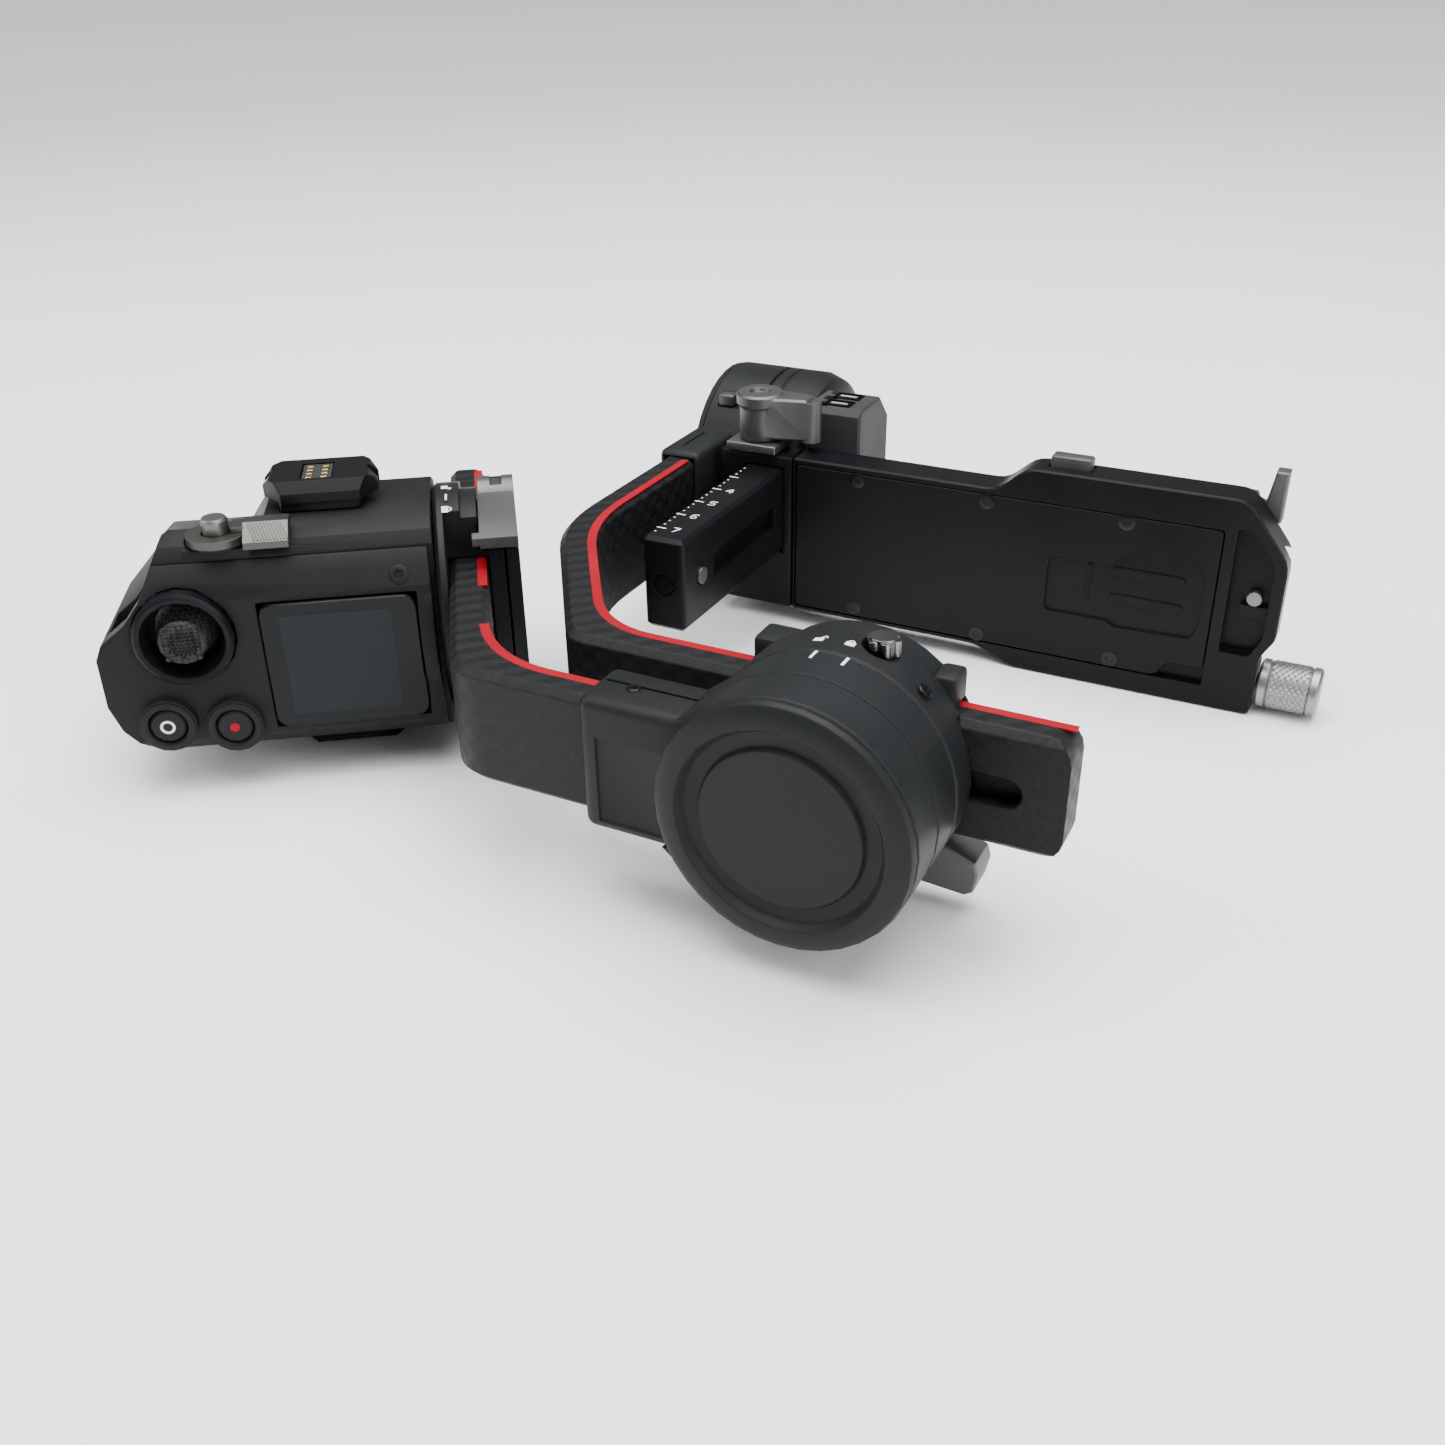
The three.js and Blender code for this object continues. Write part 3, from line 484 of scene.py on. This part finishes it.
FRONT_EDGE = -16.2
inlay("pan_arm_inlay_front",
      curve_points(pan_to_roll(10.6, -47.0), (-72.9, FRONT_EDGE), (-58.0, FRONT_EDGE), 10)
      + [(-46.2, FRONT_EDGE)], ROLL, "pan_arm_body")


# ---------- handle: display, stick, buttons, sockets ----------
bm = bmesh.new()
block(bm, (-35.6, -10.6), (-25.68, -25.5), (-16.2, 9.0))
finish_piece("display_area", bm, PAN, "display", "handle")

STICK_X = -57
STICK_Z = 5.2
RECORD_AT = (-49.4, -17.5)
MODE_AT = (-64.2, -16.0)
BUTTON_FACE = -26.96
bm = bmesh.new()
for i in range(-4, 5):
    for k in range(-4, 5):
        if math.hypot(i, k) > 4.1:
            continue
        x, z = STICK_X + i * 0.95 + (k % 2) * 0.47, STICK_Z + k * 0.82
        tip = bm.verts.new((x, -28.75, z))
        base = [bm.verts.new((x + 0.42 * a, -28.3, z + 0.42 * b))
                for a, b in ((-1, 0), (0, -1), (1, 0), (0, 1))]
        for n in range(4):
            bm.faces.new((base[n], base[(n + 1) % 4], tip))
        bm.faces.new(base)
finish_piece("stick_studs", bm, PAN, "button", "joystick_body")
bm = bmesh.new()
for a in range(4):
    q = Matrix.Rotation(math.radians(45 + 90 * a), 4, "Y")
    spot = q @ Vector((4.9, 0, 0))
    block(bm, (STICK_X + spot.x - 0.6, STICK_X + spot.x + 0.6), (-28.35, -27.4),
          (STICK_Z + spot.z - 0.6, STICK_Z + spot.z + 0.6), 0.2)
finish_piece("stick_notches", bm, PAN, "rubber", "joystick_body")

bm = bmesh.new()
lathe(bm, [(0, 0), (1.15, 0), (1.15, 0.14), (0, 0.14)],
      facing((0, -1, 0), (RECORD_AT[0], BUTTON_FACE, RECORD_AT[1])), 24)
finish_piece("record_dot", bm, PAN, "red", "record_button_body")
bm = bmesh.new()
lathe(bm, [(1.1, 0), (1.7, 0), (1.7, 0.12), (1.1, 0.12), (1.1, 0)],
      facing((0, -1, 0), (MODE_AT[0], BUTTON_FACE, MODE_AT[1])), 24)
finish_piece("mode_mark", bm, PAN, "white", "mode_button_body")

bm = bmesh.new()
for at in (MODE_AT, RECORD_AT):
    lathe(bm, [(4.45, 0), (6.1, 0), (6.0, 0.35), (4.9, 0.5), (4.45, 0.2), (4.45, 0)],
          facing((0, -1, 0), (at[0], -26.6, at[1])), 36)
finish_piece("button_collars", bm, PAN, "motor_shell", "handle")

# headphone-size socket on the bevel above the display
slope = Vector((0, -4.5, 2.5)).normalized()
SOCKET_AT = (-8.0, -23.1, 16.0)
bm = bmesh.new()
lathe(bm, [(1.0, -0.02), (2.3, -0.02), (2.3, 0.12), (1.3, 0.3), (1.0, 0.3), (1.0, -0.02)],
      facing(slope, SOCKET_AT), 28)
finish_piece("round_socket", bm, PAN, "motor_shell", "handle")
bm = bmesh.new()
lathe(bm, [(0, 0.0), (0.95, 0.0), (0.95, 0.1), (0, 0.1)], facing(slope, SOCKET_AT), 20)
finish_piece("round_socket_hole", bm, PAN, "dark", "handle")


# ---------- accessory ports: two columns of contacts ----------
def contact_pads(name, sign):
    bm = bmesh.new()
    for column in (-27.0, -23.5):
        for row in range(4):
            y = sign * (-3.9 + 2.4 * row)
            z = sorted((sign * 33.65, sign * 33.9))
            block(bm, (column - 0.75, column + 0.75), (y - 0.7, y + 0.7), z, 0.1)
    finish_piece(name, bm, PAN, "gold", "handle")


contact_pads("upper_gold_pads", 1)
contact_pads("lower_gold_pads", -1)


# ---------- ridges on the grip lock lever ----------
bm = bmesh.new()
for i in range(11):
    x = -40.3 + 0.72 * i
    p = [(x, -17.2, 28.4), (x + 0.3, -17.2, 28.4), (x + 1.9, -20.9, 25.7), (x + 1.6, -20.9, 25.7)]
    lift = Vector((0, -0.12, 0.16))
    low = [bm.verts.new(v) for v in p]
    high = [bm.verts.new(Vector(v) + lift) for v in p]
    bm.faces.new(low)
    bm.faces.new(high)
    for n in range(4):
        bm.faces.new((low[n], low[(n + 1) % 4], high[(n + 1) % 4], high[n]))
finish_piece("lock_lever_ridges", bm, PAN, "ridge", "grip_lock_lever_body")


# ---------- small printed signs ----------
PRINT_PROUD = 0.05
PAN_BARREL = 27.2
ROLL_BARREL = 26.35


def padlock(bm, turn, size, closed=True):
    half, top = 0.5 * size, 0.2 * size
    prism(bm, [(-half, -half), (half, -half), (half, top), (-half, top)], turn, 0.0, PRINT_PROUD)
    shift = 0.0 if closed else 0.45 * size
    outer = [(shift + 0.36 * size * math.cos(a), 0.2 * size + 0.42 * size * math.sin(a))
             for a in (math.pi * i / 8 for i in range(9))]
    inner = [(shift + 0.2 * size * math.cos(a), 0.2 * size + 0.26 * size * math.sin(a))
             for a in (math.pi * i / 8 for i in range(9))]
    prism(bm, outer + list(reversed(inner)), turn, 0.0, PRINT_PROUD)


def on_barrel(along, angle, radius, axis):
    """Frame on a motor's barrel: origin on the surface, z outward, y along the axis."""
    a = math.radians(angle)
    if axis == "x":
        out = Vector((0, -math.sin(a), math.cos(a)))
        at = Vector((along, 0, 0)) + out * radius
        side = Vector((1, 0, 0))
    else:
        out = Vector((math.sin(a), 0, math.cos(a)))
        at = Vector((0, along, 0)) + out * radius
        side = Vector((0, 1, 0))
    x = side.cross(out)
    m = Matrix.Identity(4)
    for i in range(3):
        m[i][0], m[i][1], m[i][2], m[i][3] = x[i], side[i], out[i], at[i]
    return m


bm = bmesh.new()
padlock(bm, on_barrel(3.6, 20, PAN_BARREL, "x"), 2.2)
padlock(bm, on_barrel(3.6, -2, PAN_BARREL, "x"), 2.2, False)
block(bm, (3.4, 3.9), (-6.6, -3.2), (26.7, 27.05))
finish_piece("pan_signs", bm, PAN, "white", "pan_rotor_body")
bm = bmesh.new()
padlock(bm, on_barrel(-2.6, 4, ROLL_BARREL, "y"), 2.0)
padlock(bm, on_barrel(-2.6, -10, ROLL_BARREL, "y"), 2.0, False)
finish_piece("roll_signs", bm, ROLL, "white", "roll_rotor_body")
bm = bmesh.new()
for angle in (-6, 8):
    m = on_barrel(-9.6, angle, ROLL_BARREL, "y")
    prism(bm, [(-0.3, -1.6), (0.3, -1.6), (0.3, 1.6), (-0.3, 1.6)], m, 0.0, PRINT_PROUD)
finish_piece("roll_ticks", bm, ROLL, "white", "pan_arm_body")

# ---------- scale on the vertical arm ----------
DIGITS = {
    "4": [[(0.75, 0.0), (0.75, 1.0)], [(0.75, 1.0), (0.0, 0.35), (1.0, 0.35)]],
    "5": [[(0.95, 1.0), (0.15, 1.0), (0.1, 0.55), (0.55, 0.62),
           (0.92, 0.42), (0.85, 0.12), (0.45, 0.0), (0.05, 0.1)]],
    "6": [[(0.85, 0.95), (0.5, 1.0), (0.15, 0.72), (0.08, 0.3), (0.3, 0.02),
           (0.7, 0.02), (0.92, 0.3), (0.7, 0.56), (0.3, 0.56), (0.1, 0.36)]],
    "7": [[(0.05, 1.0), (0.95, 1.0), (0.4, 0.0)]],
}


def stroke(bm, points, width, low, high):
    """Thin raised stroke: one short bar per segment."""
    for a, b in zip(points, points[1:]):
        a, b = Vector((a[0], a[1], 0)), Vector((b[0], b[1], 0))
        way = (b - a).normalized()
        side = Vector((-way.y, way.x, 0)) * width / 2
        a, b = a - way * width * 0.3, b + way * width * 0.3
        corners = [a - side, b - side, b + side, a + side]
        lower = [bm.verts.new(v + Vector((0, 0, low))) for v in corners]
        upper = [bm.verts.new(v + Vector((0, 0, high))) for v in corners]
        bm.faces.new(list(reversed(lower)))
        bm.faces.new(upper)
        for n in range(4):
            bm.faces.new((lower[n], lower[(n + 1) % 4], upper[(n + 1) % 4], upper[n]))


SCALE_TOP = 11.8
SCALE_START = 64.0
PRINT_Z = (SCALE_TOP - 0.05, SCALE_TOP + 0.03)
bm = bmesh.new()
for step in range(-4, 29):
    y = SCALE_START + 2.5 * step
    if 112.0 < y < 128.5 or y > 134 or y < 60:
        continue
    span = (-78.2, -75.6) if step % 4 == 0 else (-77.6, -77.1)
    block(bm, span, (y - 0.2, y + 0.2), PRINT_Z)
for i, digit in enumerate("7654"):
    y = SCALE_START + 10 * i
    for line in DIGITS[digit]:
        points = [(-74.0 + 2.0 * u, y - 1.3 + 2.6 * v) for u, v in line]
        stroke(bm, points, 0.36, *PRINT_Z)
finish_piece("arm_scale", bm, ROLL, "white", "tilt_rotor_body")


# ---------- knurled knob ----------
def knurled_knob():
    """Fine-tune knob with a diamond knurl between two plain collars."""
    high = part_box("fine_tune_knob")[1]
    inside = ROLL.inverted()
    right = (inside @ Vector(high)).x / MM
    axis_y, axis_z = 121.4, -27.0
    length = 14.8
    left = right - length
    sides = 120
    profile = [(0.0, left, 0), (5.6, left, 0), (6.2, left + 0.6, 0),
               (6.2, left + 2.2, 0), (5.7, left + 2.6, 0)]
    steps = 36
    for i in range(steps + 1):
        profile.append((6.0, left + 3.0 + 8.8 * i / steps, i + 1))
    profile += [(5.7, right - 2.6, 0), (6.2, right - 2.2, 0), (6.2, right - 0.6, 0),
                (5.6, right, 0), (0.0, right, 0)]
    bm = bmesh.new()
    rings = []
    for radius, x, row in profile:
        if radius == 0.0:
            rings.append([bm.verts.new((x, axis_y, axis_z))])
            continue
        ring = []
        for k in range(sides):
            r = radius
            if row:
                rising = abs((row + k) % 6 - 3) / 3.0
                falling = abs((row - k) % 6 - 3) / 3.0
                r += 0.27 * min(rising, falling) * 1.6 - 0.13
            a = 2 * math.pi * k / sides
            ring.append(bm.verts.new((x, axis_y + r * math.cos(a), axis_z + r * math.sin(a))))
        rings.append(ring)
    for one, two in zip(rings, rings[1:]):
        for k in range(sides):
            n = (k + 1) % sides
            if len(one) == 1:
                bm.faces.new((one[0], two[k], two[n]))
            elif len(two) == 1:
                bm.faces.new((one[k], two[0], one[n]))
            else:
                bm.faces.new((one[k], two[k], two[n], one[n]))
    obj = finish_piece("fine_tune_grip", bm, ROLL, "knurl", "fine_tune_knob_body")
    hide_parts("fine_tune_knob")


knurled_knob()


# ---------- sockets on the port box ----------
for i, y in enumerate((132.4, 139.2)):
    bm = bmesh.new()
    outline = [(-62.4, y - 2.4), (-54.6, y - 2.4), (-54.6, y + 2.4), (-62.4, y + 2.4)]
    inner = [(-61.7, y - 1.7), (-55.3, y - 1.7), (-55.3, y + 1.7), (-61.7, y + 1.7)]
    for k in range(4):
        n = (k + 1) % 4
        quad = [outline[k], outline[n], inner[n], inner[k]]
        lower = [bm.verts.new((a, b, 26.35)) for a, b in quad]
        upper = [bm.verts.new((a, b, 26.75)) for a, b in quad]
        bm.faces.new(list(reversed(lower)))
        bm.faces.new(upper)
        for m in range(4):
            bm.faces.new((lower[m], lower[(m + 1) % 4], upper[(m + 1) % 4], upper[m]))
    finish_piece(f"socket_frame_{i + 1}", bm, ROLL, "black_metal", "tilt_rotor_body")
    bm = bmesh.new()
    block(bm, (-61.7, -55.3), (y - 1.7, y + 1.7), (26.3, 26.45))
    finish_piece(f"socket_floor_{i + 1}", bm, ROLL, "dark", "tilt_rotor_body")
    bm = bmesh.new()
    block(bm, (-60.9, -56.1), (y - 0.45, y + 0.45), (26.4, 26.7), 0.1)
    finish_piece(f"socket_tongue_{i + 1}", bm, ROLL, "pale", "tilt_rotor_body")


# ---------- screws ----------
COVER_FACE = 115.2
COVER_SCREWS = ((-45.6, 11.8), (-9.4, 11.8), (26.7, 12.1), (-45.4, -25.6), (-9.5, -26.1), (26.6, -25.8))
for i, (x, z) in enumerate(COVER_SCREWS):
    screw(f"cover_screw_{i + 1}", ROLL, (x, COVER_FACE, z), (0, -1, 0), 2.1, "carriage_body", proud=0.2)
screw("roll_lug_screw", ROLL, (17.5, -4.0, 20.6), (0.62, 0, 0.78), 1.5, "roll_rotor_body", proud=0.3)
screw("roll_sleeve_screw", ROLL, (-37.0, -18.1, 15.2), (0, 0, 1), 1.5, "pan_arm_body", proud=0.3)

# ---------- bar in the finger recess of the base plate ----------
bm = bmesh.new()
block(bm, (18.1, 19.5), (115.5, 117.5), (-10.6, -0.4), 0.4)
finish_piece("recess_bar", bm, ROLL, "black_metal", "carriage_body")


# ---------- floor ----------
GLOW_START = 0.35
GLOW_FULL = 2.2
GLOW_LEVEL = 0.6


def floor_material():
    """Pale matte floor with a faint glow far from the object, where the softboxes no longer reach."""
    mat, tree, shader, bump, coords = base_material("studio_floor", 0.0, 0.1)
    tint = ramp(tree, noise(tree, 3.0, 3.0, coords), (0.86, 0.87, 0.875, 1), (0.89, 0.90, 0.90, 1))
    tree.links.new(tint, shader.inputs["Base Color"])
    rough = ramp(tree, noise(tree, 60.0, 3.0, coords), grey(0.65), grey(0.75))
    tree.links.new(rough, shader.inputs["Roughness"])
    bump.inputs["Strength"].default_value = 0.02
    tree.links.new(noise(tree, 400.0, 2.0, coords), bump.inputs["Height"])
    away = tree.nodes.new("ShaderNodeVectorMath")
    away.operation = "LENGTH"
    tree.links.new(coords, away.inputs[0])
    glow = tree.nodes.new("ShaderNodeMapRange")
    glow.interpolation_type = "SMOOTHSTEP"
    glow.inputs["From Min"].default_value = GLOW_START
    glow.inputs["From Max"].default_value = GLOW_FULL
    glow.inputs["To Max"].default_value = GLOW_LEVEL
    tree.links.new(away.outputs["Value"], glow.inputs["Value"])
    shader.inputs["Emission Color"].default_value = (0.97, 0.985, 1.0, 1)
    tree.links.new(glow.outputs["Result"], shader.inputs["Emission Strength"])
    return mat


FLOOR_GAP = 0.0002
FLOOR_Z = START_BOUNDS[0][2] - FLOOR_GAP
FLOOR_HALF = 7.0
bm = bmesh.new()
bmesh.ops.create_grid(bm, x_segments=8, y_segments=8, size=FLOOR_HALF)
bmesh.ops.translate(bm, vec=(0, 0, FLOOR_Z), verts=bm.verts)
mesh = bpy.data.meshes.new("floor")
bm.to_mesh(mesh)
bm.free()
mesh.materials.append(floor_material())
floor = bpy.data.objects.new("floor", mesh)
bpy.context.scene.collection.objects.link(floor)


# ---------- light ----------
def area_light(name, at, towards, size, power, colour=(1, 1, 1)):
    data = bpy.data.lights.new(name, "AREA")
    data.shape = "RECTANGLE"
    data.size, data.size_y = size
    data.energy = power
    data.color = colour
    light = bpy.data.objects.new(name, data)
    bpy.context.scene.collection.objects.link(light)
    light.location = at
    light.rotation_euler = (Vector(towards) - Vector(at)).to_track_quat("-Z", "Y").to_euler()
    return light


area_light("top_softbox", (0.0, 0.0, 1.1), (0, 0, 0), (1.3, 1.3), 34.0)
area_light("left_softbox", (-0.75, -0.45, 0.55), (0, 0, 0.03), (0.6, 0.7), 5.0, (0.96, 0.98, 1.0))
area_light("right_softbox", (0.8, -0.3, 0.5), (0, 0, 0.03), (0.6, 0.7), 6.0)
area_light("back_strip", (0.1, 0.1, 0.9), (-0.2, 0.4, 0.3), (1.2, 0.3), 6.0)

world = bpy.data.worlds.new("studio")
bpy.context.scene.world = world
world.use_nodes = True
tree = world.node_tree
background = tree.nodes["Background"]
direction = tree.nodes.new("ShaderNodeTexCoord")
split = tree.nodes.new("ShaderNodeSeparateXYZ")
tree.links.new(direction.outputs["Generated"], split.inputs[0])
sky = ramp(tree, split.outputs["Z"], (0.60, 0.60, 0.61, 1), (0.95, 0.95, 0.95, 1), 0.0, 0.8)
tree.links.new(sky, background.inputs["Color"])
background.inputs["Strength"].default_value = 0.3


# ---------- camera ----------
EYE = Vector((0.15197, -0.30522, 0.18421))
AZIMUTH, ELEVATION, LEAN = 27.69, 29.54, -1.01
SENSOR_MM = 36.0
LENS_MM = 36.6


def camera_rotation(azimuth, elevation, roll):
    a, e, r = math.radians(azimuth), math.radians(elevation), math.radians(roll)
    look = Vector((-math.sin(a) * math.cos(e), math.cos(a) * math.cos(e), -math.sin(e)))
    right = Vector((math.cos(a), math.sin(a), 0))
    up = right.cross(look)
    right, up = right * math.cos(r) + up * math.sin(r), up * math.cos(r) - right * math.sin(r)
    m = Matrix((right, up, -look)).transposed()
    return m.to_euler()


data = bpy.data.cameras.new("camera")
data.sensor_width = SENSOR_MM
data.lens = LENS_MM
data.clip_start = 0.01
camera = bpy.data.objects.new("camera", data)
bpy.context.scene.collection.objects.link(camera)
bpy.context.scene.camera = camera
camera.location = EYE
camera.rotation_euler = camera_rotation(AZIMUTH, ELEVATION, LEAN)
